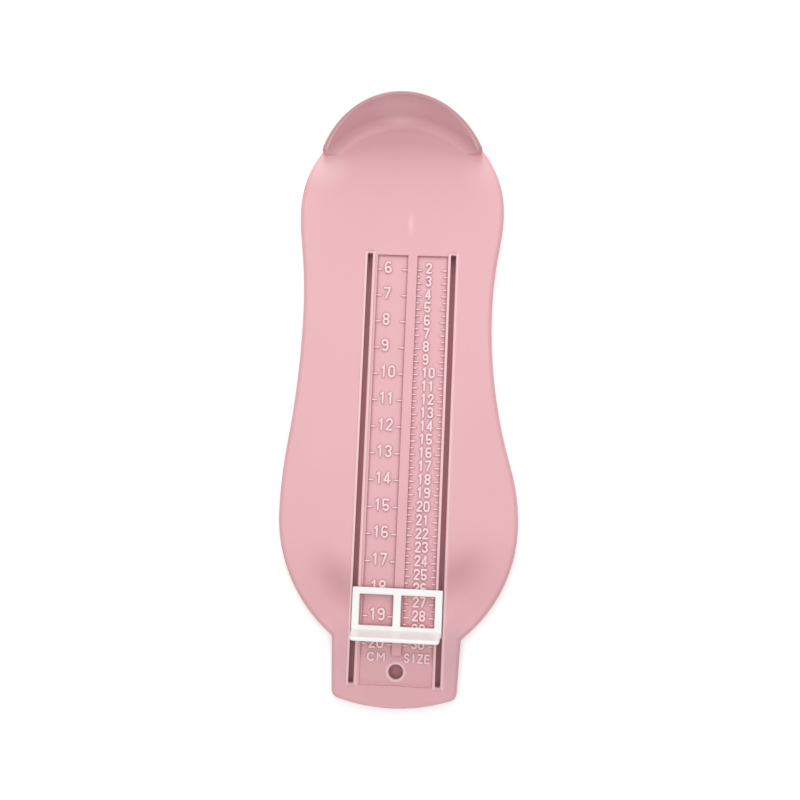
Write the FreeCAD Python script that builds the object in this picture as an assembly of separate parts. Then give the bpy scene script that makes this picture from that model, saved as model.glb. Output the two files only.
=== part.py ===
import FreeCAD, Part

import math
import os

V = FreeCAD.Vector
UP = V(0, 0, 1)

# A child's foot gauge: a moulded tray that the foot stands in, with its heel against a cup wall,
# and a slider that is pushed up to the toes and read against two ruler scales.
#
# Sizes are in millimetres. The plan is drawn in ruler coordinates: X runs across from the middle
# between the two slots, and Y = 0 is the zero line at the heel, so a reading of c centimetres
# lies at Y = -10 c. Z = 0 is the table. At the end everything moves to the part's own frame.

# Scales
centimetre = 10.0
first_cm = 6
last_cm = 20
size_zero_cm = 5.0            # the foot length that size 0 stands for
sizes_per_cm = 2              # shoe sizes in each centimetre
reading_cm = 19.42            # where the slider stands at rest

# Tray in plan
heel_radius = 39.15
heel_centre = V(-4.6, -37.0, 0)
waist_left = V(-40.7, -78.5, 0)
waist_right = V(31.2, -76.5, 0)
lobe_left = V(-45.95, -153.0, 0)
lobe_right = V(43.45, -155.3, 0)
neck_half_width = 23.8
neck_left_y = -198.0
neck_right_y = -197.2
neck_corner_radius = 1.5
tail_half_width = 22.9
tail_margin = 23.1            # from the last centimetre to the toe end of the tray
tail_arc_radius = 67.0
tail_arc_x = -1.4             # where the tail's arc is furthest out
tail_corner_radius = 3.0
heel_curve_share = 0.3        # how much of a heel-to-waist curve is the heel's own, tighter part
lobe_curve_left_share = 0.65  # how much of a waist-to-lobe curve is hollow
lobe_curve_right_share = 0.72

# Tray in height
floor_top = 6.0
floor_thickness = 1.8
skirt_thickness = 2.0
rim_radius = 1.8
rib_thickness = 1.4
rib_foot_gap = 1.0            # the ribs stop this far above the table
rib_clearance = 2.1           # between the ribs and the keeper's path
wing_ribs = 4                 # across each wing, evenly spaced along the scale

# Heel cup wall
wall_inset = 1.3              # from the tray's outline
wall_height = 20.5            # above the floor, at the back of the heel
wall_run = 19.3               # how far forward its sloping top reaches the floor
wall_reach = 15.7             # how far forward the wall itself goes, with its corner rounded off
wall_end_radius = 3.5
wall_bulge = 1.2              # the sloping top is a shallow arc, this far above its chord
wall_skew_deg = 1.6           # the slope is turned a little, as the heel is
wall_base_thickness = 1.9
wall_top_thickness = 0.8
wall_outer_draft = 0.2
wall_foot_radius = 4.0
wall_rim_radius = 0.3

# Ruler bed
slot_spacing = 31.72          # middle to middle
slot_width = 2.0
slot_lead = 6.0               # slot beyond the first centimetre, towards the heel
slot_tail = 14.3              # slot beyond the last centimetre
slot_end_radius = 0.5
rail_width = 1.0
rail_height = 0.35
edge_radius = 0.2
strip_width = 11.6            # of each recessed strip, left and right of the ridge
ridge_width = 3.5
ridge_shift = 0.43            # from the middle between the slots to the ridge's middle
ridge_tail = 3.8              # the middle ridge beyond the last centimetre
bed_depth = 0.7
bed_lead = 5.6                # ruler bed beyond the first centimetre
bed_tail = 14.7

# Relief: numerals, ticks and labels
relief_height = 0.3
relief_root = 0.2             # how deep the relief reaches into the floor, so that they are one
stroke_width = 0.7
cm_figure = (3.9, 2.0, 2.95)  # height and width along the strokes, and pitch
size_figure = (3.4, 1.7, 2.6)
cm_label_figure = (2.7, 2.3, 3.7)
size_label_figure = (2.8, 1.5, 2.5)
figure_lift = 0.85            # a numeral's middle is this far to the heel side of its tick
cm_column_x = -8.8            # middle of the first figure of a numeral
size_column_x = 6.7
label_drop = 4.5              # the labels' middle, beyond the last centimetre
tick_width = 0.5
tick_inset = 0.05             # a tick's end, inside the bed's edge
cm_tick = 1.9
size_tick = 1.9
half_tick = 1.2

# Hanging hole
hole_radius = 2.65
hole_tail = 9.6               # beyond the last centimetre
collar_width = 0.85
collar_height = 0.4

# Slider
leg_thickness = 1.4
leg_front = 5.5               # leg ahead of the toe stop's face
leg_back = 1.5                # leg behind that face
frame_thickness = 1.5
running_gap = 0.3             # between the slider or its keeper and the tray
window_width = 12.4
window_length = 11.4
window_radius = 0.4
window_post = 2.9             # between the two windows
front_bar = 2.35
rear_bar = 1.15               # between the windows and the toe stop's face
stop_height = 15.0            # above the tray's floor
stop_top_thickness = 1.3
stop_face_draft = 0.2
stop_back_draft = 0.5
stop_side_draft = 0.9
stop_corner_radius = 1.1      # the two corners behind
stop_front_radius = 0.5
slider_edge_radius = 0.35

# Keeper
keeper_thickness = 1.5
keeper_overhang = 1.6         # past the slots' outer edges
keeper_margin = 1.5           # past the legs, along the slots
catch_depth = 0.9
catch_reach = 0.4

# Worked out from the sizes above
first_y = -centimetre * first_cm
last_y = -centimetre * last_cm
stop_y = -centimetre * reading_cm
floor_bottom = floor_top - floor_thickness
bed_top = floor_top - bed_depth
slot_x = slot_spacing / 2
slot_start_y = first_y + slot_lead
slot_end_y = last_y - slot_tail
ridge_left = ridge_shift - ridge_width / 2
ridge_right = ridge_shift + ridge_width / 2
bed_left = ridge_left - strip_width
bed_right = ridge_right + strip_width
bed_start_y = first_y + bed_lead
bed_end_y = last_y - bed_tail
tail_y = last_y - tail_margin
tray_width = lobe_right.x - lobe_left.x
neck_corners = [V(-neck_half_width, neck_left_y, 0), V(neck_half_width, neck_right_y, 0)]
tail_arc_centre = V(tail_arc_x, tail_y + tail_arc_radius, 0)
tail_corners = [
    V(x, tail_arc_centre.y - math.sqrt(tail_arc_radius ** 2 - (x - tail_arc_x) ** 2), 0)
    for x in (-tail_half_width, tail_half_width)
]
slider_half_width = slot_x + leg_thickness / 2
frame_bottom = floor_top + rail_height + running_gap
frame_top = frame_bottom + frame_thickness
stop_back_y = stop_y - stop_top_thickness - stop_face_draft - stop_back_draft
slider_front_y = stop_y + rear_bar + window_length + front_bar
leg_front_y = stop_y + leg_front
leg_length = leg_front + leg_back
keeper_top = floor_bottom - running_gap
keeper_bottom = keeper_top - keeper_thickness
keeper_half_width = slot_x + slot_width / 2 + keeper_overhang


def box(x0, x1, y0, y1, z0, z1):
    """A box between two corners, given as low and high X, Y and Z."""
    return Part.makeBox(x1 - x0, y1 - y0, z1 - z0, V(x0, y0, z0))


def edges_where(shape, test):
    """The edges of a shape whose bounding box passes the test."""
    return [edge for edge in shape.Edges if test(edge.BoundBox)]


def upright(bound):
    return bound.ZLength > 0.1 and bound.XLength < 0.01 and bound.YLength < 0.01


def lies_at(z):
    return lambda bound: abs(bound.ZMin - z) < 0.001 and abs(bound.ZMax - z) < 0.001


def stands_on(corners):
    return lambda bound: upright(bound) and any(
        math.hypot(bound.XMin - corner.x, bound.YMin - corner.y) < 0.01 for corner in corners)


def arc_from(start, heading, end):
    """The arc that leaves start along heading and ends at end."""
    chord = end - start
    side = UP.cross(heading)
    across = chord.dot(side)
    radius = chord.Length ** 2 / (2 * across)
    centre = start + side * radius
    middle = (start + end) * 0.5 - centre
    return Part.Arc(start, centre + middle.normalize() * abs(radius), end).toShape()


def s_curve(start, end, share):
    """Two arcs that leave start and reach end along -Y, and meet at a share of the way."""
    down = V(0, -1, 0)
    joint = start + (end - start) * share
    return [arc_from(start, down, joint), arc_from(end, V(0, 1, 0), joint)]


# Tray

def tray_outline():
    """The sole shape: heel circle, waist, lobes, neck and curved tail, not symmetric."""
    heel_right = heel_centre + V(heel_radius, 0, 0)
    heel_left = heel_centre - V(heel_radius, 0, 0)
    neck_left, neck_right = neck_corners
    tail_left, tail_right = tail_corners
    edges = [Part.Arc(heel_right, heel_centre + V(0, heel_radius, 0), heel_left).toShape()]
    edges += s_curve(heel_left, waist_left, heel_curve_share)
    edges += s_curve(waist_left, lobe_left, lobe_curve_left_share)
    edges.append(arc_from(lobe_left, V(0, -1, 0), neck_left))
    edges.append(Part.makeLine(neck_left, tail_left))
    edges.append(Part.Arc(tail_left, V(tail_arc_x, tail_y, 0), tail_right).toShape())
    edges.append(Part.makeLine(tail_right, neck_right))
    edges.append(arc_from(lobe_right, V(0, -1, 0), neck_right))
    edges += s_curve(waist_right, lobe_right, lobe_curve_right_share)
    edges += s_curve(heel_right, waist_right, heel_curve_share)
    return Part.Wire(Part.__sortEdges__(edges))


def tray_plate():
    """The outline as a solid up to the floor, with rounded plan corners."""
    plate = Part.Face(tray_outline()).extrude(UP * floor_top)
    plate = plate.makeFillet(neck_corner_radius, edges_where(plate, stands_on(neck_corners)))
    plate = plate.makeFillet(tail_corner_radius, edges_where(plate, stands_on(tail_corners)))
    return plate


def ribs():
    """Ribs under the floor: one each side of the keeper's path, and several across wings and heel."""
    path_x = keeper_half_width + rib_clearance
    path_end = slot_start_y + keeper_margin + rib_clearance
    bars = [(-tray_width, tray_width, path_end, path_end + rib_thickness)]
    for side in (-1, 1):
        x0, x1 = sorted((side * path_x, side * (path_x + rib_thickness)))
        bars.append((x0, x1, neck_right_y, path_end))
        wing = sorted((side * path_x, side * tray_width))
        for step in range(wing_ribs):
            y = first_y + step * (last_y - first_y) / wing_ribs
            bars.append((*wing, y - rib_thickness / 2, y + rib_thickness / 2))
    for step in (-1, 0, 1):
        x = heel_centre.x + step * heel_radius / 2
        bars.append((x - rib_thickness / 2, x + rib_thickness / 2, path_end, heel_radius))
    return [box(*bar, rib_foot_gap, floor_bottom) for bar in bars]


def cup_wall():
    """The wall round the heel: a tapering ring, cut off by a sloping arc down to the floor."""
    outer = heel_radius - wall_inset
    root = floor_bottom
    top = floor_top + wall_height + wall_foot_radius
    inner_top = outer - wall_outer_draft - wall_top_thickness
    inner_base = outer - wall_base_thickness
    lean = math.atan2(inner_top - inner_base, top - floor_top)
    toe = inner_base - wall_foot_radius
    centre = V(toe, 0, floor_top + wall_foot_radius)
    start = centre + V(0, 0, -wall_foot_radius)
    swing = math.radians(90) - lean
    end = centre + V(math.sin(swing), 0, -math.cos(swing)) * wall_foot_radius
    half = centre + V(math.sin(swing / 2), 0, -math.cos(swing / 2)) * wall_foot_radius
    profile = [
        Part.makeLine(V(outer, 0, root), V(toe, 0, root)),
        Part.makeLine(V(toe, 0, root), start),
        Part.Arc(start, half, end).toShape(),
        Part.makeLine(end, V(inner_top, 0, top)),
        Part.makeLine(V(inner_top, 0, top), V(outer - wall_outer_draft, 0, top)),
        Part.makeLine(V(outer - wall_outer_draft, 0, top), V(outer, 0, floor_top)),
        Part.makeLine(V(outer, 0, floor_top), V(outer, 0, root)),
    ]
    back = heel_centre.y + outer - wall_outer_draft
    end = back - wall_reach
    half_turn = math.degrees(math.acos((end - heel_centre.y) / outer)) + 3 * wall_skew_deg
    ring = Part.Face(Part.Wire(profile)).revolve(V(0, 0, 0), UP, 2 * half_turn)
    ring.rotate(V(0, 0, 0), UP, 90 - half_turn)
    ring.translate(heel_centre)
    wall = ring.cut(slope_tool(end, back))
    high = floor_top + wall_foot_radius
    sloping = edges_where(wall, lambda b: b.ZMax > high and b.ZLength > wall_foot_radius)
    return wall.makeFillet(wall_rim_radius, sloping)


def slope_tool(end, back):
    """What comes off the ring: all ahead of the wall's end, and all above an arc up to the heel's back."""
    low = V(0, back - wall_run, floor_top)
    high = V(0, back, floor_top + wall_height)
    chord = high - low
    bulge = V(0, -chord.z, chord.y).normalize() * wall_bulge
    middle = (low + high) * 0.5 + bulge
    circle = Part.Arc(low, middle, high).toShape().Curve
    start, stop = circle.parameter(low), circle.parameter(high)
    past = circle.value(stop + (stop - start) / 4)
    above = floor_top + 2 * wall_height
    ahead = heel_centre.y
    corners = [past, V(0, past.y, above), V(0, ahead, above), V(0, ahead, floor_top), low]
    edges = [Part.Arc(low, middle, past).toShape()]
    edges += [Part.makeLine(a, b) for a, b in zip(corners, corners[1:])]
    width = 4 * heel_radius
    tool = Part.Face(Part.Wire(edges)).extrude(V(width, 0, 0))
    tool = tool.fuse(box(0, width, ahead, end, 0, above)).removeSplitter()
    corner = edges_where(tool, lambda b: b.XLength > heel_radius and b.YMin > end - 0.01
                         and b.YMax < end + 0.01 and b.ZMin > floor_top)
    tool = tool.makeFillet(wall_end_radius, corner)
    tool.translate(V(heel_centre.x - width / 2, 0, 0))
    tool.rotate(V(heel_centre.x, end, 0), UP, wall_skew_deg)
    return tool


def slot_prism(side, grow, low, high):
    """One slot as a solid, grown all round, with rounded ends."""
    half = slot_width / 2 + grow
    x = side * slot_x
    prism = box(x - half, x + half, slot_end_y - grow, slot_start_y + grow, low, high)
    return prism.makeFillet(slot_end_radius + grow * 0.9, edges_where(prism, upright))


def ruler_bed_cuts():
    """The two recessed strips, which merge beyond the end of the middle ridge."""
    cuts = []
    for x0, x1 in ((bed_left, ridge_left), (ridge_right, bed_right)):
        strip = box(x0, x1, bed_end_y, bed_start_y, bed_top, floor_top + 1)
        cuts.append(strip.makeFillet(edge_radius, edges_where(strip, lies_at(bed_top))))
    ridge_end_y = last_y - ridge_tail
    past = 2 * edge_radius
    cuts.append(box(ridge_left - past, ridge_right + past, bed_end_y + edge_radius, ridge_end_y,
                    bed_top, floor_top + 1))
    return cuts


# Relief: a figure is a few strokes round the origin. A stroke is a line between two points, or
# an arc given by its middle, its radius and its first and last angle in degrees.

def figure_strokes(character, height, width):
    """The strokes of a numeral or letter of this height and width, measured along their middles."""
    a = width / 2
    h = height / 2
    b = h - a
    q = h / 2
    strokes = {
        "0": [("arc", 0, b, a, 0, 180), ("arc", 0, -b, a, 180, 360),
              ("line", -a, b, -a, -b), ("line", a, b, a, -b)],
        "1": [("line", 0, -h, 0, h), ("line", 0, h, -0.7 * a, h - 0.7 * a)],
        "2": [("arc", 0, b, a, -40, 175), ("line", 0.77 * a, b - 0.64 * a, -a, -h), ("line", -a, -h, a, -h)],
        "3": [("arc", 0, q, q, -90, 155), ("arc", 0, -q, q, -155, 90)],
        "4": [("line", a / 2, -h, a / 2, h), ("line", a / 2, h, -a, -q), ("line", -a, -q, a, -q)],
        "5": [("line", a, h, -a, h), ("line", -a, h, -a, -b + 0.5 * a), ("arc", 0, -b, a, -150, 150)],
        "6": [("arc", 0, -b, a, 0, 360), ("line", -a, -b, -a, b), ("arc", 0, b, a, 45, 180)],
        "7": [("line", -a, h, a, h), ("line", a, h, -a / 3, -h)],
        "8": [("arc", 0, q, q, 0, 360), ("arc", 0, -q, q, 0, 360)],
        "9": [("arc", 0, b, a, 0, 360), ("line", a, b, a, -b), ("arc", 0, -b, a, 225, 360)],
        "C": [("arc", 0, b, a, 42, 180), ("line", -a, b, -a, -b), ("arc", 0, -b, a, 180, 318)],
        "M": [("line", -a, -h, -a, h), ("line", -a, h, 0, -q / 2),
              ("line", 0, -q / 2, a, h), ("line", a, h, a, -h)],
        "S": [("arc", 0, q, q, 25, 270), ("arc", 0, -q, q, -155, 90)],
        "I": [("line", 0, -h, 0, h)],
        "Z": [("line", -a, h, a, h), ("line", a, h, -a, -h), ("line", -a, -h, a, -h)],
        "E": [("line", a, h, -a, h), ("line", -a, h, -a, -h),
              ("line", -a, -h, a, -h), ("line", -a, 0, 0.7 * a, 0)],
    }
    return strokes[character]


def polar(centre, radius, degrees):
    return centre + V(math.cos(math.radians(degrees)), math.sin(math.radians(degrees)), 0) * radius


def raised_line(x0, y0, x1, y1):
    """The outline of a straight stroke with round ends."""
    start, end = V(x0, y0, 0), V(x1, y1, 0)
    along = (end - start).normalize() * (stroke_width / 2)
    side = UP.cross(along)
    return Part.Face(Part.Wire([
        Part.makeLine(start + side, end + side),
        Part.Arc(end + side, end + along, end - side).toShape(),
        Part.makeLine(end - side, start - side),
        Part.Arc(start - side, start - along, start + side).toShape(),
    ]))


def raised_arc(x, y, radius, first, last):
    """The outline of a curved stroke with round ends, or of a whole ring."""
    centre = V(x, y, 0)
    outer, inner = radius + stroke_width / 2, radius - stroke_width / 2
    if last - first >= 360:
        rings = [Part.Wire(Part.makeCircle(r, centre)) for r in (outer, inner)]
        return Part.Face(rings, "Part::FaceMakerCheese")
    edges = []
    for r in (outer, inner):
        points = [polar(centre, r, angle) for angle in (first, (first + last) / 2, last)]
        edges.append(Part.Arc(*points).toShape())
    for angle, turn in ((first, -90), (last, 90)):
        tip = polar(polar(centre, radius, angle), stroke_width / 2, angle + turn)
        edges.append(Part.Arc(polar(centre, outer, angle), tip, polar(centre, inner, angle)).toShape())
    return Part.Face(Part.Wire(Part.__sortEdges__(edges)))


def figure_solid(character, height, width):
    """One raised numeral or letter, centred on the origin, with its root at Z = 0."""
    outlines = {"line": raised_line, "arc": raised_arc}
    depth = UP * (relief_root + relief_height)
    strokes = figure_strokes(character, height, width)
    bars = [outlines[kind](*sizes).extrude(depth) for kind, *sizes in strokes]
    return bars[0].fuse(bars[1:]).removeSplitter() if len(bars) > 1 else bars[0]


def word(text, figure, x, y, shapes):
    """Raised characters in a row; shapes keeps each character once it is made."""
    height, width, pitch = figure
    solids = []
    for place, character in enumerate(text):
        if (character, height, width) not in shapes:
            shapes[character, height, width] = figure_solid(character, height, width)
        solid = shapes[character, height, width].copy()
        solid.translate(V(x + place * pitch, y, bed_top - relief_root))
        solids.append(solid)
    return solids


def tick(x, reach, y):
    """A raised dash that starts at x and runs by reach across the strip."""
    x0, x1 = sorted((x, x + reach))
    half = tick_width / 2
    return box(x0, x1, y - half, y + half, bed_top - relief_root, bed_top + relief_height)


def relief():
    """Both scales: centimetres on the left strip, shoe sizes on the right, and their labels."""
    shapes = {}
    solids = []
    for cm in range(first_cm, last_cm + 1):
        y = -centimetre * cm
        solids += word(str(cm), cm_figure, cm_column_x, y + figure_lift, shapes)
        solids += [tick(ridge_left - tick_inset, -cm_tick, y), tick(bed_left + tick_inset, cm_tick, y)]
    size_step = centimetre / sizes_per_cm
    first_size = round((first_cm - size_zero_cm) * sizes_per_cm)
    last_size = round((last_cm - size_zero_cm) * sizes_per_cm)
    inner, outer = ridge_right + tick_inset, bed_right - tick_inset
    for size in range(first_size, last_size + 1):
        y = -centimetre * size_zero_cm - size * size_step
        solids += word(str(size), size_figure, size_column_x, y + figure_lift, shapes)
        solids += [tick(inner, size_tick, y), tick(outer, -size_tick, y)]
        if size < last_size:
            solids += [tick(inner, half_tick, y - size_step / 2), tick(outer, -half_tick, y - size_step / 2)]
    labels = {"CM": (cm_label_figure, bed_left, ridge_left),
              "SIZE": (size_label_figure, ridge_right, bed_right)}
    for text, (figure, x0, x1) in labels.items():
        start = (x0 + x1) / 2 - figure[2] * (len(text) - 1) / 2
        solids += word(text, figure, start, last_y - label_drop, shapes)
    return solids


def hanging_hole(tray):
    """A round hole near the toe end, with a low collar round its mouth."""
    centre = V(ridge_shift, last_y - hole_tail, 0)
    collar_top = bed_top + collar_height
    collar = Part.makeCylinder(hole_radius + collar_width, collar_height + relief_root,
                               centre + UP * (bed_top - relief_root))
    drill = Part.makeCylinder(hole_radius, 2 * floor_top, centre)
    tray = tray.fuse(collar).cut(drill)
    mouth = [edge for edge in edges_where(tray, lies_at(collar_top)) if edge.BoundBox.YMax < last_y]
    return tray.makeFillet(edge_radius, mouth)


def slot_rail(side):
    """The low rim round one slot, still without the slot itself."""
    top = floor_top + rail_height
    rail = slot_prism(side, rail_width, bed_top, top)
    return rail.makeFillet(edge_radius, edges_where(rail, lies_at(top)))


def base_tray():
    plate = tray_plate()
    bottom = [face for face in plate.Faces if face.BoundBox.ZMax < 0.001][0]
    cavity = Part.Face(bottom.OuterWire.makeOffset2D(-skirt_thickness)).extrude(UP * floor_bottom)
    cavity = cavity.cut(ribs())
    plate = plate.makeFillet(rim_radius, edges_where(plate, lies_at(floor_top)))
    tray = plate.fuse([cup_wall(), slot_rail(-1), slot_rail(1)])
    tray = tray.cut(ruler_bed_cuts())
    tray = tray.cut([slot_prism(side, 0, 0, floor_top + 1) for side in (-1, 1)])
    tray = hanging_hole(tray)
    tray = tray.cut(cavity).removeSplitter()
    return tray.fuse(Part.makeCompound(relief()))


# Slider and keeper

def toe_stop():
    """The upright plate that meets the toes, thinner and narrower towards its top."""
    top = floor_top + stop_height
    wide, narrow = slider_half_width, slider_half_width - stop_side_draft
    foot = [(-wide, stop_y), (wide, stop_y), (wide, stop_back_y), (-wide, stop_back_y)]
    face_y, back_y = stop_y - stop_face_draft, stop_back_y + stop_back_draft
    crown = [(-narrow, face_y), (narrow, face_y), (narrow, back_y), (-narrow, back_y)]
    rings = [Part.makePolygon([V(x, y, z) for x, y in ring + ring[:1]])
             for ring, z in ((foot, frame_bottom), (crown, top))]
    plate = Part.makeLoft(rings, True, True)
    rear = edges_where(plate, lambda b: b.ZLength > 1 and b.YMax < back_y + 0.01)
    plate = plate.makeFillet(stop_corner_radius, rear)
    front = edges_where(plate, lambda b: b.ZLength > 1 and b.YMin > face_y - 0.01)
    plate = plate.makeFillet(stop_front_radius, front)
    return plate.makeFillet(slider_edge_radius, edges_where(plate, lies_at(top)))


def reading_frame():
    """The flat frame with its two windows; its rear end is inside the toe stop."""
    inside = (stop_y + stop_back_y) / 2
    frame = box(-slider_half_width, slider_half_width, inside, slider_front_y, frame_bottom, frame_top)
    corners = edges_where(frame, lambda b: upright(b) and b.YMin > inside + 1)
    frame = frame.makeFillet(window_radius, corners)
    for side in (-1, 1):
        x = sorted((side * window_post / 2, side * (window_post / 2 + window_width)))
        y = stop_y + rear_bar
        window = box(x[0], x[1], y, y + window_length, frame_bottom - 1, frame_top + 1)
        frame = frame.cut(window.makeFillet(window_radius, edges_where(window, upright)))
    top_edges = edges_where(frame, lambda b: lies_at(frame_top)(b) and b.YMax > inside + 0.01)
    return frame.makeFillet(slider_edge_radius, top_edges)


def leg(side):
    """One leg through a slot and the keeper, with a catch below that holds the keeper on."""
    x0 = side * slot_x - leg_thickness / 2
    back_y = leg_front_y - leg_length
    blade = box(x0, x0 + leg_thickness, back_y, leg_front_y, keeper_bottom - catch_depth, frame_bottom)
    outer = side * (slot_x + leg_thickness / 2)
    points = [V(outer, back_y, keeper_bottom), V(outer + side * catch_reach, back_y, keeper_bottom),
              V(outer, back_y, keeper_bottom - catch_depth)]
    catch = Part.Face(Part.makePolygon(points + points[:1])).extrude(V(0, leg_length, 0))
    return [blade, catch]


def slider():
    return reading_frame().fuse([toe_stop()] + leg(-1) + leg(1)).removeSplitter()


def slider_keeper():
    """A bar under the floor with a socket for each leg."""
    back_y = leg_front_y - leg_length
    bar = box(-keeper_half_width, keeper_half_width, back_y - keeper_margin, leg_front_y + keeper_margin,
              keeper_bottom, keeper_top)
    bar = bar.makeFillet(stop_corner_radius, edges_where(bar, upright))
    for side in (-1, 1):
        x0 = side * slot_x - leg_thickness / 2
        bar = bar.cut(box(x0, x0 + leg_thickness, back_y, leg_front_y, keeper_bottom - 1, keeper_top + 1))
    return bar


# From ruler coordinates to the part's frame: the origin is under the middle of the tray's box.
to_frame = V(-(lobe_left.x + lobe_right.x) / 2, -(heel_centre.y + heel_radius + tail_y) / 2, 0)

NODES = {"base_tray": base_tray, "slider": slider, "slider_keeper": slider_keeper}

os.makedirs("parts", exist_ok=True)
for name, make in NODES.items():
    shape = make()
    shape.translate(to_frame)
    shape.exportStep("parts/%s.step" % name)
    print(name, len(shape.Solids), "solid", shape.isValid(), round(shape.Volume, 1), shape.BoundBox)
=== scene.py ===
import math

import bpy
import numpy as np
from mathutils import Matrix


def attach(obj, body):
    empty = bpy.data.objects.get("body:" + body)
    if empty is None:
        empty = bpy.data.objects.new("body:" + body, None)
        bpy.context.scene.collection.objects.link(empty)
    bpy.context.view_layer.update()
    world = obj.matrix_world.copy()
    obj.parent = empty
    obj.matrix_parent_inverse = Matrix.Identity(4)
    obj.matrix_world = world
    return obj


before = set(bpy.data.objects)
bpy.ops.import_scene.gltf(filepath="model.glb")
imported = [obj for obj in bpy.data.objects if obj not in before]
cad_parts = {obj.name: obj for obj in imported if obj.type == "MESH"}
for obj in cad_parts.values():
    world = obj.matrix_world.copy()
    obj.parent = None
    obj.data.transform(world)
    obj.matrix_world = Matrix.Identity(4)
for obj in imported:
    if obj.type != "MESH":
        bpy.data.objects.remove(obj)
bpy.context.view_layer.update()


# Tray
# The tray that the foot stands in, with the heel cup wall: one thin shell of pink plastic, such as
# polypropylene, moulded in one shot with a satin finish.

def srgb(*levels):
    """A colour written as 0 to 255 levels, as the linear values that the shader takes."""
    shares = [level / 255 for level in levels]
    return tuple(s / 12.92 if s <= 0.04045 else ((s + 0.055) / 1.055) ** 2.4 for s in shares) + (1.0,)


def moulded_plastic(name, colour, cloud_colour, roughness):
    """Satin moulded plastic: a faint cloud in its colour and its gloss, and the fine grain that the
    mould leaves. Returns the material and the node whose colour goes on to the shader."""
    material = bpy.data.materials.new(name)
    material.use_nodes = True
    nodes, links = material.node_tree.nodes, material.node_tree.links
    shader = nodes["Principled BSDF"]
    place = nodes.new("ShaderNodeTexCoord")

    cloud = nodes.new("ShaderNodeTexNoise")
    cloud.inputs["Scale"].default_value = 45.0
    cloud.inputs["Detail"].default_value = 3.0
    links.new(place.outputs["Object"], cloud.inputs["Vector"])
    tint = nodes.new("ShaderNodeMix")
    tint.data_type = "RGBA"
    tint.inputs["A"].default_value = colour
    tint.inputs["B"].default_value = cloud_colour
    links.new(cloud.outputs["Fac"], tint.inputs["Factor"])
    links.new(tint.outputs["Result"], shader.inputs["Base Color"])
    gloss = nodes.new("ShaderNodeMapRange")
    gloss.inputs["To Min"].default_value = roughness - 0.05
    gloss.inputs["To Max"].default_value = roughness + 0.05
    links.new(cloud.outputs["Fac"], gloss.inputs["Value"])
    links.new(gloss.outputs["Result"], shader.inputs["Roughness"])

    grain = nodes.new("ShaderNodeTexNoise")
    grain.inputs["Scale"].default_value = 2600.0
    grain.inputs["Detail"].default_value = 2.0
    links.new(place.outputs["Object"], grain.inputs["Vector"])
    bump = nodes.new("ShaderNodeBump")
    bump.inputs["Strength"].default_value = 0.12
    bump.inputs["Distance"].default_value = 0.00004
    links.new(grain.outputs["Fac"], bump.inputs["Height"])
    links.new(bump.outputs["Normal"], shader.inputs["Normal"])
    shader.inputs["IOR"].default_value = 1.5
    return material, tint


def tinted(material, last, colour, factor):
    """Mixes one more colour over the plastic where factor says. Returns the new last node."""
    nodes, links = material.node_tree.nodes, material.node_tree.links
    mix = nodes.new("ShaderNodeMix")
    mix.data_type = "RGBA"
    mix.inputs["B"].default_value = colour
    links.new(last.outputs["Result"], mix.inputs["A"])
    links.new(factor, mix.inputs["Factor"])
    links.new(mix.outputs["Result"], nodes["Principled BSDF"].inputs["Base Color"])
    return mix


def arithmetic(material, operation, *terms):
    """One step of arithmetic in a material, on numbers or on other nodes' outputs."""
    step = material.node_tree.nodes.new("ShaderNodeMath")
    step.operation = operation
    for socket, term in zip(step.inputs, terms):
        if isinstance(term, (int, float)):
            socket.default_value = term
        else:
            material.node_tree.links.new(term, socket)
    return step.outputs[0]


def ramp(material, value, start, end, top=1.0, easing="LINEAR"):
    """0 where value is at start, rising to top where it is at end, and level beyond them."""
    rise = material.node_tree.nodes.new("ShaderNodeMapRange")
    rise.interpolation_type = easing
    rise.inputs["From Min"].default_value = start
    rise.inputs["From Max"].default_value = end
    rise.inputs["To Max"].default_value = top
    material.node_tree.links.new(value, rise.inputs["Value"])
    return rise.outputs["Result"]


def coordinate(material, axis):
    """A place's own X, Y or Z on the object."""
    place = material.node_tree.nodes.new("ShaderNodeTexCoord")
    split = material.node_tree.nodes.new("ShaderNodeSeparateXYZ")
    material.node_tree.links.new(place.outputs["Object"], split.inputs[0])
    return split.outputs[axis]


def distance(material, axis, middle):
    """How far a place is from middle along one axis."""
    past = arithmetic(material, "SUBTRACT", coordinate(material, axis), middle)
    return arithmetic(material, "ABSOLUTE", past)


def round_distance(material, point):
    """How far a place is from an upright line through a point in plan."""
    squares = [arithmetic(material, "POWER", distance(material, axis, middle), 2)
               for axis, middle in zip("XY", point)]
    return arithmetic(material, "SQRT", arithmetic(material, "ADD", *squares))


def soft_patch(material, middle, reach, turn, strength):
    """A soft oval patch: strength at its middle, easing to 0 at its reach."""
    nodes, links = material.node_tree.nodes, material.node_tree.links
    place = nodes.new("ShaderNodeTexCoord")
    centre = nodes.new("ShaderNodeMapping")
    centre.vector_type = "TEXTURE"
    centre.inputs["Location"].default_value = middle
    centre.inputs["Rotation"].default_value = (0, 0, math.radians(turn))
    centre.inputs["Scale"].default_value = reach
    links.new(place.outputs["Object"], centre.inputs["Vector"])
    fade = nodes.new("ShaderNodeTexGradient")
    fade.gradient_type = "SPHERICAL"
    links.new(centre.outputs["Vector"], fade.inputs["Vector"])
    return ramp(material, fade.outputs["Fac"], 0, 1, strength, "SMOOTHSTEP")


def soft_line(material, off, middle, reach, strength):
    """A soft line: strength where the distance off is middle, easing to 0 at reach on each side."""
    beside = arithmetic(material, "ABSOLUTE", arithmetic(material, "SUBTRACT", off, middle))
    return ramp(material, beside, reach, 0, strength, "SMOOTHSTEP")


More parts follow.
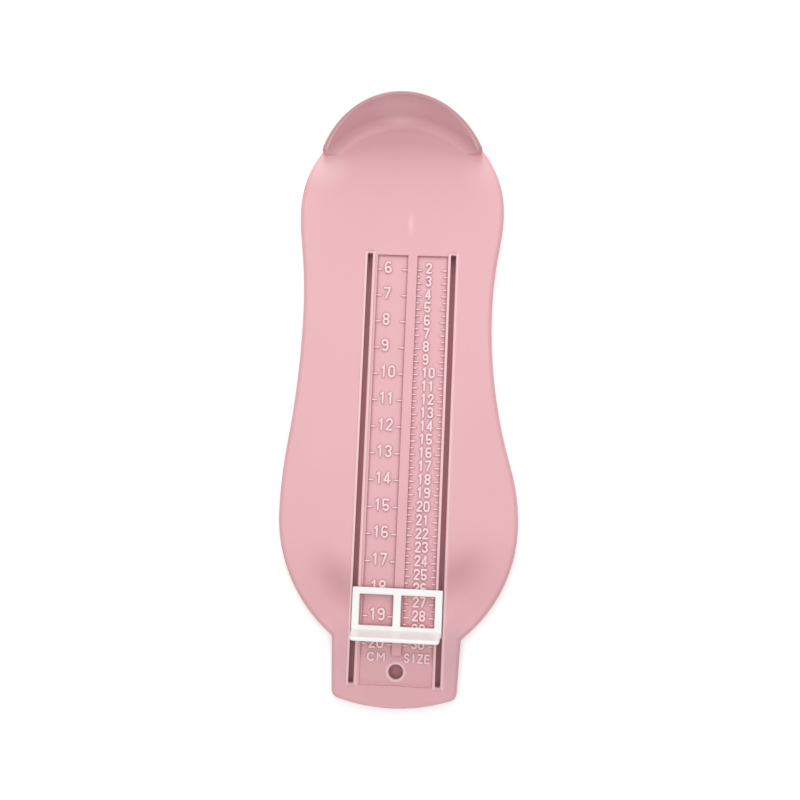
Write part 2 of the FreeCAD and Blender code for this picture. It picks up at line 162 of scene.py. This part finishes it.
def creases(material, depth, strength, reach):
    """Painted shade: strength in corners narrower than depth, and 0 on open surfaces and in corners that
    are further than reach from midway between the slots."""
    shelter = material.node_tree.nodes.new("ShaderNodeAmbientOcclusion")
    shelter.samples = 8
    shelter.inputs["Distance"].default_value = depth
    shade = ramp(material, shelter.outputs["AO"], open_share, closed_share, strength)
    near = arithmetic(material, "LESS_THAN", distance(material, "X", zero_line[0]), reach)
    return arithmetic(material, "MULTIPLY", shade, near)


def finish_node(name, material):
    """Gives a CAD node its material."""
    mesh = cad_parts[name].data
    mesh.materials.clear()
    mesh.materials.append(material)


def on_tray(x, y):
    """A place in plan, from how many millimetres it is from the scales' zero."""
    return zero_line[0] + x * millimetre, zero_line[1] + y * millimetre


millimetre = 0.001
zero_line = (0.00125, 0.110475)           # the scales' zero, midway between the slots
floor_top = 6 * millimetre
pink_plastic, pink = moulded_plastic("pink_plastic", srgb(222, 170, 175), srgb(218, 165, 170), 0.40)
shade_pink, dull_shade_pink, highlight_and_gate_pink = srgb(150, 84, 92), srgb(170, 140, 150), srgb(246, 214, 217)

# Painted shade in the narrow corners of the ruler bed, a deeper pink where less sky is seen: at its edges,
# round the figures, and faintly in all that the slider shelters. Each row is a depth, a strength and a reach.
open_share, closed_share = 0.97, 0.6      # of the sky, seen from an open surface and from a narrow corner
bed_reach = 17.2 * millimetre             # from midway between the slots to their outer rails
figures_reach = 11.5 * millimetre
scales_middle = on_tray(0, -128)[1]
scales_half_length, scales_end = 74 * millimetre, 79 * millimetre
by_scales = ramp(pink_plastic, distance(pink_plastic, "Y", scales_middle), scales_end, scales_half_length)
for depth, strength, reach in (
        (1.1, 0.58, bed_reach),
        (7.0, 0.22, bed_reach),
        (2.2, 0.28, figures_reach)):
    shade = creases(pink_plastic, depth * millimetre, strength, reach)
    pink = tinted(pink_plastic, pink, shade_pink, arithmetic(pink_plastic, "MULTIPLY", shade, by_scales))

# Soft patches of painted shade and painted light, and one pale mark, each with its x, y, half length, half
# width, turn, colour and strength. They are tall enough to go right through the floor.
patch_depth = 50 * millimetre
for x, y, length, width, turn, colour, strength in (
        (-20.8, -178.6, 19.0, 10.0, -50, shade_pink, 0.35),     # a darker spot of painted shade left of the slots
        (20.8, -173.2, 18.0, 10.5, 40, shade_pink, 0.31),       # and right of them
        (-28.0, -181.0, 24.0, 24.0, 0, shade_pink, 0.10),       # painted shade on the left lobe
        (29.0, -177.0, 26.0, 24.0, 0, shade_pink, 0.15),        # painted shade on the right lobe
        (-20.0, -206.0, 8.0, 22.0, 0, dull_shade_pink, 0.22),        # painted shade on the neck, left of the slots
        (21.5, -204.0, 8.0, 22.0, 0, dull_shade_pink, 0.38),         # and right of them
        (-6.8, -1.6, 13.0, 2.4, 0, highlight_and_gate_pink, 0.33),           # a painted highlight on the bend at the foot of the wall
        (-6.6, -5.4, 16.0, 3.4, 0, shade_pink, 0.07),           # a darker line of painted shade in front of it
        (-6.5, -13.5, 28.0, 12.0, 0, dull_shade_pink, 0.17),         # painted shade of the wall on the floor within it
        (-33.9, -20.5, 12.0, 10.0, 0, highlight_and_gate_pink, 0.32),        # painted light on the floor beside its left end
        (25.0, -20.0, 12.0, 10.0, 0, highlight_and_gate_pink, 0.12),         # and its right end
        (-0.8, -42.0, 2.0, 6.5, 0, highlight_and_gate_pink, 0.3)):           # a pale mark between the heel and the scales
    spot = on_tray(x, y) + (floor_top,)
    size = (length * millimetre, width * millimetre, patch_depth)
    pink = tinted(pink_plastic, pink, colour, soft_patch(pink_plastic, spot, size, turn, strength))

# Painted light on the heel wall: higher up it is greyed a little, for the paler look of its shaded inner
# face, and painted shade makes it deeper pink along its top edge.
heel_middle = on_tray(-4.6, -37)
wall_foot, wall_clear = 6.5 * millimetre, 10 * millimetre      # its tints grow between these heights
wall_edge_radius, wall_edge_reach = 36.95 * millimetre, 0.75 * millimetre
wall_shade_grey, wall_grey_strength, wall_edge_shade_strength = srgb(222, 198, 203), 0.3, 0.42
up_wall = ramp(pink_plastic, coordinate(pink_plastic, "Z"), wall_foot, wall_clear)
shade_greying = arithmetic(pink_plastic, "MULTIPLY", up_wall, wall_grey_strength)
pink = tinted(pink_plastic, pink, wall_shade_grey, shade_greying)
off_heel = round_distance(pink_plastic, heel_middle)
edge = soft_line(pink_plastic, off_heel, wall_edge_radius, wall_edge_reach, wall_edge_shade_strength)
pink = tinted(pink_plastic, pink, shade_pink, arithmetic(pink_plastic, "MULTIPLY", up_wall, edge))

# Painted highlights on the rounded rails beside the slots and on the collar of the hanging hole: paler
# lines along them.
rails_middle = on_tray(0.15, 0)[0]
inner_rail, outer_rail, rail_reach = 14.25 * millimetre, 17.45 * millimetre, 0.75 * millimetre
slots_middle, slots_half_length = on_tray(0, -134.2)[1], 81 * millimetre
hole_middle = on_tray(0.43, -209.6)
collar_radius, collar_reach = 3.3 * millimetre, 0.8 * millimetre
rail_highlight_strength, collar_highlight_strength = 0.55, 0.7
by_slots = arithmetic(pink_plastic, "LESS_THAN", distance(pink_plastic, "Y", slots_middle), slots_half_length)
off_middle = distance(pink_plastic, "X", rails_middle)
for rail in (inner_rail, outer_rail):
    line = soft_line(pink_plastic, off_middle, rail, rail_reach, rail_highlight_strength)
    pink = tinted(pink_plastic, pink, highlight_and_gate_pink, arithmetic(pink_plastic, "MULTIPLY", line, by_slots))
off_hole = round_distance(pink_plastic, hole_middle)
collar = soft_line(pink_plastic, off_hole, collar_radius, collar_reach, collar_highlight_strength)
pink = tinted(pink_plastic, pink, highlight_and_gate_pink, collar)
finish_node("base_tray", pink_plastic)


# Scale figures
# The numerals, ticks and labels in the ruler bed: low round beads moulded with the tray, glossier than its
# floor and painted a little paler, as a painted highlight on their raised strokes.

bed_top = 5.3 * millimetre
bed_left, ridge_left, ridge_right, bed_right = (x * millimetre for x in (-12.92, -1.32, 2.18, 13.78))
first_cm, last_cm = 6, 20
first_size, last_size = 2, 30
size_zero_cm = 5.0
size_step = 5.0 * millimetre
figure_lift = 0.85 * millimetre
label_drop = 4.5 * millimetre
stroke_half_width = 0.47 * millimetre
stroke_height = 0.48 * millimetre
tick_half_width = 0.33 * millimetre
tick_height = 0.42 * millimetre
bead_sink = 0.1 * millimetre


def bead(path, headings, half_width, height):
    """A round bead along a path: at a distance d from the path its height is that of a
    superellipse, height * (1 - (d / half_width) ** 2.6) ** (1 / 2.6), and its ends are round too,
    unless the path comes back to its start. Returns the points, row by row, and the faces."""
    ring_path = np.allclose(path[0], path[-1])
    turns = np.radians([] if ring_path else [84, 60, 33])
    count = len(path) - 1 if ring_path else len(path)
    ahead = np.concatenate([-np.sin(turns), np.zeros(count), np.sin(turns[::-1])]) * half_width
    reach = np.concatenate([np.cos(turns), np.ones(count), np.cos(turns[::-1])])
    pick = np.clip(np.arange(len(ahead)) - len(turns), 0, count - 1)
    along = np.stack([np.cos(headings), np.sin(headings)], 1)[pick]
    side = np.stack([along[:, 1], -along[:, 0]], 1)
    across = reach[:, None] * np.array([-1, -0.82, 0, 0.82, 1])
    middle = path[pick] + along * ahead[:, None]
    flat = middle[:, None] + side[:, None] * (across * half_width)[:, :, None]
    distance = np.minimum(np.hypot(ahead[:, None] / half_width, across), 1)
    top = np.concatenate([flat, (height * (1 - distance ** 2.6) ** (1 / 2.6))[:, :, None]], 2)
    foot = np.concatenate([flat[:, [-1, 0]], np.full((len(flat), 2, 1), -bead_sink)], 2)
    rows = np.concatenate([top, foot], 1)
    length, ring = rows.shape[:2]
    i, j = np.meshgrid(np.arange(length if ring_path else length - 1), np.arange(ring), indexing="ij")
    i1, j1 = (i + 1) % length, (j + 1) % ring
    faces = np.stack([i * ring + j, i1 * ring + j, i1 * ring + j1, i * ring + j1], -1).reshape(-1, 4).tolist()
    if not ring_path:
        faces += [list(range(ring)), list(range(length * ring - 1, length * ring - ring - 1, -1))]
    return rows.reshape(-1, 3), faces


def straight(x0, y0, x1, y1):
    """The two ends of a line, and its heading at each."""
    heading = math.atan2(y1 - y0, x1 - x0)
    return np.array([[x0, y0], [x1, y1]]), np.array([heading, heading])


def curved(x, y, radius, first, last):
    """Points on an arc, about 15 degrees apart, and the heading at each."""
    angles = np.radians(np.linspace(first, last, max(3, round((last - first) / 15))))
    points = np.stack([x + radius * np.cos(angles), y + radius * np.sin(angles)], 1)
    return points, angles + math.pi / 2


def figure_strokes(character, height, width):
    """The strokes of a figure of this height and width, measured along their middles: a line
    between two points, or an arc with its middle, radius and first and last angle."""
    a = width / 2
    h = height / 2
    b = h - a
    q = h / 2
    strokes = {
        "0": [curved(0, b, a, 0, 180), curved(0, -b, a, 180, 360),
              straight(-a, b, -a, -b), straight(a, b, a, -b)],
        "1": [straight(0, -h, 0, h), straight(0, h, -0.7 * a, h - 0.7 * a)],
        "2": [curved(0, b, a, -40, 175), straight(0.77 * a, b - 0.64 * a, -a, -h), straight(-a, -h, a, -h)],
        "3": [curved(0, q, q, -90, 155), curved(0, -q, q, -155, 90)],
        "4": [straight(a / 2, -h, a / 2, h), straight(a / 2, h, -a, -q), straight(-a, -q, a, -q)],
        "5": [straight(a, h, -a, h), straight(-a, h, -a, -b + 0.5 * a), curved(0, -b, a, -150, 150)],
        "6": [curved(0, -b, a, 0, 360), straight(-a, -b, -a, b), curved(0, b, a, 45, 180)],
        "7": [straight(-a, h, a, h), straight(a, h, -a / 3, -h)],
        "8": [curved(0, q, q, 0, 360), curved(0, -q, q, 0, 360)],
        "9": [curved(0, b, a, 0, 360), straight(a, b, a, -b), curved(0, -b, a, 225, 360)],
        "C": [curved(0, b, a, 42, 180), straight(-a, b, -a, -b), curved(0, -b, a, 180, 318)],
        "M": [straight(-a, -h, -a, h), straight(-a, h, 0, -q / 2),
              straight(0, -q / 2, a, h), straight(a, h, a, -h)],
        "S": [curved(0, q, q, 25, 270), curved(0, -q, q, -155, 90)],
        "I": [straight(0, -h, 0, h)],
        "Z": [straight(-a, h, a, h), straight(a, h, -a, -h), straight(-a, -h, a, -h)],
        "E": [straight(a, h, -a, h), straight(-a, h, -a, -h),
              straight(-a, -h, a, -h), straight(-a, 0, 0.7 * a, 0)],
    }
    return strokes[character]


def word(text, figure, x, y):
    """The strokes of a row of characters: the first is centred on x, and all of them on y."""
    height, width, pitch = (size * millimetre for size in figure)
    return [(path + (x + place * pitch, y), headings)
            for place, character in enumerate(text)
            for path, headings in figure_strokes(character, height, width)]


def scale_piece(name, strokes, half_width, height):
    """One mesh of all these beads, standing on the ruler bed."""
    points, faces, count = [], [], 0
    for path, headings in strokes:
        rows, rings = bead(path, headings, half_width, height)
        points.append(rows + (zero_line[0], zero_line[1], bed_top))
        faces += [[count + corner for corner in face] for face in rings]
        count += len(rows)
    mesh = bpy.data.meshes.new(name)
    mesh.from_pydata(np.concatenate(points).tolist(), [], faces)
    mesh.polygons.foreach_set("use_smooth", [len(face) == 4 for face in faces])
    mesh.update()
    piece = bpy.data.objects.new(name, mesh)
    bpy.context.scene.collection.objects.link(piece)
    return piece


cm_figure, size_figure = (3.9, 2.0, 2.95), (3.4, 1.7, 2.6)                  # height, width and pitch in mm
cm_label_figure, size_label_figure = (2.7, 2.3, 3.7), (2.8, 1.5, 2.5)
cm_x, size_x = -8.8 * millimetre, 6.7 * millimetre
centimetres, sizes, ticks, labels = [], [], [], []
long_tick, short_tick = 1.9 * millimetre, 1.2 * millimetre
root = 0.3 * millimetre                   # how far back a tick starts inside the edge that it grows from


def dash(edge, reach, y):
    """A tick that grows out of an edge of the bed, reach long, to the right or left by its sign."""
    ticks.append(straight(edge - math.copysign(root, reach), y, edge + reach, y))


for cm in range(first_cm, last_cm + 1):
    y = -cm * 10 * millimetre
    centimetres += word(str(cm), cm_figure, cm_x, y + figure_lift)
    dash(ridge_left, -long_tick, y)
    dash(bed_left, long_tick, y)
for size in range(first_size, last_size + 1):
    y = -size_zero_cm * 10 * millimetre - size * size_step
    sizes += word(str(size), size_figure, size_x, y + figure_lift)
    dash(ridge_right, long_tick, y)
    dash(bed_right, -long_tick, y)
    if size < last_size:
        dash(ridge_right, short_tick, y - size_step / 2)
        dash(bed_right, -short_tick, y - size_step / 2)
label_y = -last_cm * 10 * millimetre - label_drop
for text, figure, x0, x1 in (("CM", cm_label_figure, bed_left, ridge_left),
                             ("SIZE", size_label_figure, ridge_right, bed_right)):
    start = (x0 + x1) / 2 - figure[2] * millimetre * (len(text) - 1) / 2
    labels += word(text, figure, start, label_y)

# The figures and ticks are the tray's pink painted paler, a painted highlight on their raised strokes.
figure_plastic, figure_pink = moulded_plastic(
    "figure_pink_painted_highlight", srgb(246, 214, 217), srgb(243, 209, 213), 0.34)
tick_plastic, tick_pink = moulded_plastic("tick_pink_painted_highlight", srgb(241, 206, 210), srgb(238, 201, 206), 0.36)
# Painted shade darkens the beads' feet where they meet the bed.
foot_depth, foot_shade_strength, foot_shade_pink = 0.7 * millimetre, 0.9, srgb(180, 118, 126)
for material, last in ((figure_plastic, figure_pink), (tick_plastic, tick_pink)):
    tinted(material, last, foot_shade_pink, creases(material, foot_depth, foot_shade_strength, bed_reach))
for name, strokes, half_width, height, material in (
        ("centimetre_numerals", centimetres, stroke_half_width, stroke_height, figure_plastic),
        ("size_numerals", sizes, stroke_half_width, stroke_height, figure_plastic),
        ("scale_labels", labels, stroke_half_width, stroke_height, figure_plastic),
        ("scale_ticks", ticks, tick_half_width, tick_height, tick_plastic)):
    piece = scale_piece(name, strokes, half_width, height)
    piece.data.materials.append(material)
    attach(piece, "tray")


# Slider and its keeper
# The toe stop with its reading windows, and the bar under the floor that holds it in the slots: both
# glossier white plastic, moulded apart and snapped together through the tray.

white_plastic, _ = moulded_plastic("white_plastic", srgb(242, 241, 239), srgb(239, 238, 236), 0.33)
for name in ("slider", "slider_keeper"):
    finish_node(name, white_plastic)


# Table
# A plain pale sheet, which the camera sees as white. It is tinted pink below the tray's slots and hanging
# hole, in place of the light that the pink tray would pass down there.

table_size = 4.0
table_glow = 0.18
bpy.ops.mesh.primitive_plane_add(size=table_size, location=(0, 0, 0))
table = bpy.context.object
table.name = "table"
paper = bpy.data.materials.new("paper")
paper.use_nodes = True
nodes, links = paper.node_tree.nodes, paper.node_tree.links
shader = nodes["Principled BSDF"]
shader.inputs["Roughness"].default_value = 0.9
shader.inputs["Specular IOR Level"].default_value = 0.0
shader.inputs["Emission Color"].default_value = (1, 1, 1, 1)
pool_half_width, pool_half_length = 18.4 * millimetre, 83.6 * millimetre      # just past the slots
beside = arithmetic(paper, "GREATER_THAN", distance(paper, "X", zero_line[0]), pool_half_width)
beyond = arithmetic(paper, "GREATER_THAN", distance(paper, "Y", slots_middle), pool_half_length)
off_pool = arithmetic(paper, "MAXIMUM", beside, beyond)
seen = nodes.new("ShaderNodeLightPath")
seen_white = arithmetic(paper, "MULTIPLY", seen.outputs["Is Camera Ray"], off_pool)
links.new(arithmetic(paper, "MULTIPLY", seen_white, table_glow), shader.inputs["Emission Strength"])
pool = nodes.new("ShaderNodeMix")
pool.data_type = "RGBA"
pool.inputs["A"].default_value = (0.80, 0.38, 0.41, 1)     # below the slots and the hole
pool.inputs["B"].default_value = (0.93, 0.93, 0.93, 1)
links.new(off_pool, pool.inputs["Factor"])
links.new(pool.outputs["Result"], shader.inputs["Base Color"])
table.data.materials.append(paper)


# Studio light
# A pale room all round, a broad panel overhead, a high and a low soft box behind the heel, and a weak
# one on the toe side.

world = bpy.data.worlds.new("studio")
bpy.context.scene.world = world
world.use_nodes = True
world.node_tree.nodes["Background"].inputs["Color"].default_value = (1, 1, 1, 1)
world.node_tree.nodes["Background"].inputs["Strength"].default_value = 0.45


def soft_box(name, place, target, size, power):
    """A rectangular soft light at a place, turned towards its target."""
    data = bpy.data.lights.new(name, "AREA")
    data.shape = "RECTANGLE"
    data.size, data.size_y = size
    data.energy = power
    lamp = bpy.data.objects.new(name, data)
    bpy.context.scene.collection.objects.link(lamp)
    lamp.location = place
    aim = np.array(target) - np.array(place)
    flat = math.hypot(aim[0], aim[1])
    lamp.rotation_euler = (math.atan2(flat, -aim[2]), 0, math.atan2(aim[1], aim[0]) - math.pi / 2)


soft_box("overhead_panel", (0, 0.02, 0.4), (0, 0.02, 0), (0.4, 0.4), 0.9)
soft_box("heel_side_box", (-0.03, 0.42, 0.31), (0, 0.07, 0), (0.34, 0.34), 0.88)
soft_box("tail_side_box", (0, -0.55, 0.2), (0, 0.1, 0.01), (0.2, 0.2), 0.38)
soft_box("low_heel_box", (0, 0.45, 0.12), (0, -0.08, 0.01), (0.2, 0.1), 0.3)


# Camera
# Almost straight above the tray, a little to the right of its middle and 0.29 m up, tilted a little
# towards the heel wall.

data = bpy.data.cameras.new("camera")
data.lens = 34.71
data.sensor_width = 36.0
camera = bpy.data.objects.new("camera", data)
bpy.context.scene.collection.objects.link(camera)
camera.location = (0.012258, -0.021723, 0.294627)
camera.rotation_euler = (0.0791888, 0.0424203, 0.0423244)
bpy.context.scene.camera = camera

bpy.context.scene.view_settings.view_transform = "Standard"
